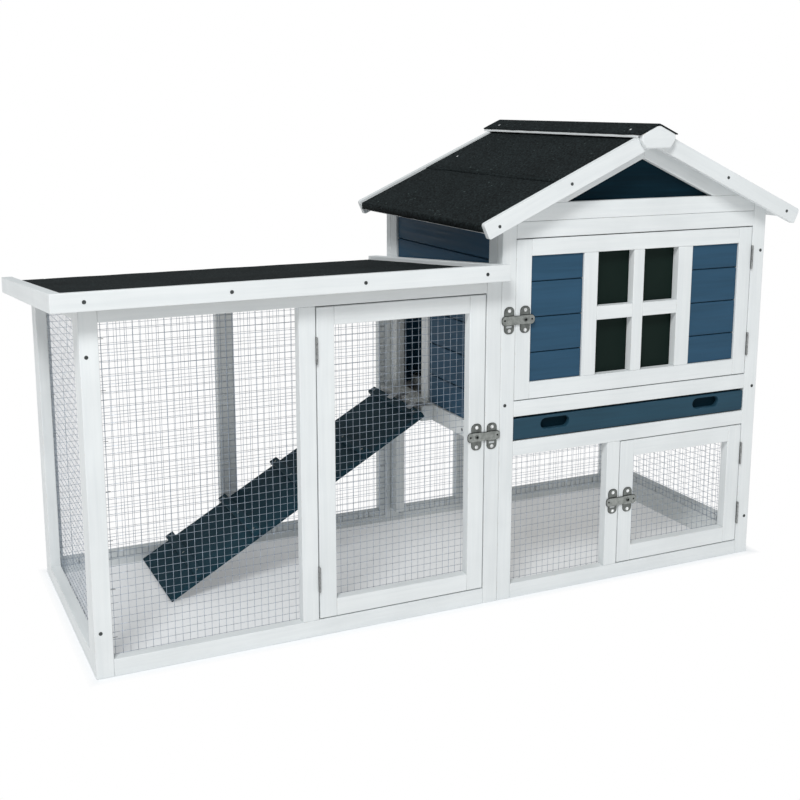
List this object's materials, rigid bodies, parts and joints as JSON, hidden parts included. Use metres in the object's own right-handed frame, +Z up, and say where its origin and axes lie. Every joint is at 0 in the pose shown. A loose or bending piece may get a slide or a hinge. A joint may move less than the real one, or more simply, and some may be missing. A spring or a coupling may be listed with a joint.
{
  "type": "rabbit hutch",
  "caption": "Wooden rabbit hutch: gabled house with hinged doors and a pull-out tray, above and beside a wire-mesh run with a cleated ramp.",
  "frame": {"origin": "middle of the whole hutch's box, on the ground", "axes": "+X along the front from the run to the house, +Y from the front to the back, +Z up"},
  "size_m": [1.4522, 0.591, 0.888],
  "materials": {
    "white_wood": "thin white paint on softwood, grain showing through",
    "blue_wood": "satin blue paint on softwood boards",
    "ramp_wood": "dark blue-green paint, slightly worn",
    "raw_wood": "unpainted plywood",
    "roof_felt": "bitumen roofing felt with mineral grit",
    "wire_mesh": "galvanised welded wire",
    "latch_metal": "dull zinc plate",
    "tray_metal": "galvanised sheet",
    "dark_pane": "dark smoked acrylic"
  },
  "bodies": {
    "hutch": {"run_front_frame": "white_wood", "run_end_frame": "white_wood", "run_back_frame": "white_wood", "house_front_frame": "white_wood", "house_left_frame": "white_wood", "house_right_frame": "white_wood", "house_back_frame": "white_wood", "run_front_mesh": "wire_mesh", "run_end_mesh": "wire_mesh", "run_back_mesh": "wire_mesh", "house_front_mesh": "wire_mesh", "house_right_mesh": "wire_mesh", "house_back_mesh": "wire_mesh", "left_wall_boards": "blue_wood", "right_wall_boards": "blue_wood", "back_wall_boards": "blue_wood", "house_floor": "raw_wood", "gable_frame_front": "white_wood", "gable_panel_front": "blue_wood", "roof_panel_left": "white_wood", "roof_panel_right": "white_wood", "roof_felt_left": "roof_felt", "roof_felt_right": "roof_felt", "ridge_cap": "roof_felt", "ridge_block_front": "white_wood", "bargeboard_front_left": "white_wood", "bargeboard_front_right": "white_wood", "bargeboard_back_left": "white_wood", "bargeboard_back_right": "white_wood", "run_roof_panel": "roof_felt", "run_roof_board_front": "white_wood", "run_roof_board_back": "white_wood", "run_roof_board_left": "white_wood", "run_roof_board_right": "white_wood", "run_latch_keeper": "latch_metal", "small_latch_keeper": "latch_metal", "house_latch_keeper": "latch_metal", "run_door_hinge_upper": "latch_metal", "run_door_hinge_lower": "latch_metal", "small_door_hinge_upper": "latch_metal", "small_door_hinge_lower": "latch_metal", "house_door_hinge_upper": "latch_metal", "house_door_hinge_lower": "latch_metal"},
    "run_door": {"run_door_frame": "white_wood", "run_door_mesh": "wire_mesh", "run_latch_plate": "latch_metal"},
    "run_latch": {"run_latch_arm": "latch_metal"},
    "small_door": {"small_door_frame": "white_wood", "small_door_mesh": "wire_mesh", "small_latch_plate": "latch_metal"},
    "small_latch": {"small_latch_arm": "latch_metal"},
    "house_door": {"house_door_frame": "white_wood", "door_boards_left": "blue_wood", "door_boards_right": "blue_wood", "door_window_pane": "dark_pane", "house_latch_plate": "latch_metal"},
    "house_latch": {"house_latch_arm": "latch_metal"},
    "tray": {"tray_front": "blue_wood", "tray_pan": "tray_metal"},
    "ramp": {"ramp": "ramp_wood"}
  },
  "joints": [
    {"name": "run_door_hinge", "type": "hinge", "parent": "hutch", "child": "run_door", "pos_m": [-0.2889, -0.2552, 0.3], "axis": [0, 0, -1], "range_deg": [0, 100]},
    {"name": "small_door_hinge", "type": "hinge", "parent": "hutch", "child": "small_door", "pos_m": [0.6386, -0.2552, 0.155], "axis": [0, 0, 1], "range_deg": [0, 100]},
    {"name": "house_door_hinge", "type": "hinge", "parent": "hutch", "child": "house_door", "pos_m": [0.6386, -0.2552, 0.535], "axis": [0, 0, 1], "range_deg": [0, 100]},
    {"name": "run_latch_turn", "type": "hinge", "parent": "run_door", "child": "run_latch", "pos_m": [0.0202, -0.2549, 0.327], "axis": [0, -1, 0], "range_deg": [0, 90]},
    {"name": "small_latch_turn", "type": "hinge", "parent": "small_door", "child": "small_latch", "pos_m": [0.3602, -0.2549, 0.1592], "axis": [0, 1, 0], "range_deg": [0, 90]},
    {"name": "house_latch_turn", "type": "hinge", "parent": "house_door", "child": "house_latch", "pos_m": [0.118, -0.2549, 0.5376], "axis": [0, 1, 0], "range_deg": [0, 90]},
    {"name": "tray_slide", "type": "slide", "parent": "hutch", "child": "tray", "axis": [0, -1, 0], "range_m": [0, 0.38]},
    {"name": "ramp_lift", "type": "hinge", "parent": "hutch", "child": "ramp", "pos_m": [0.0346, 0.1078, 0.3215], "axis": [0, 1, 0], "range_deg": [0, 29]}
  ]
}
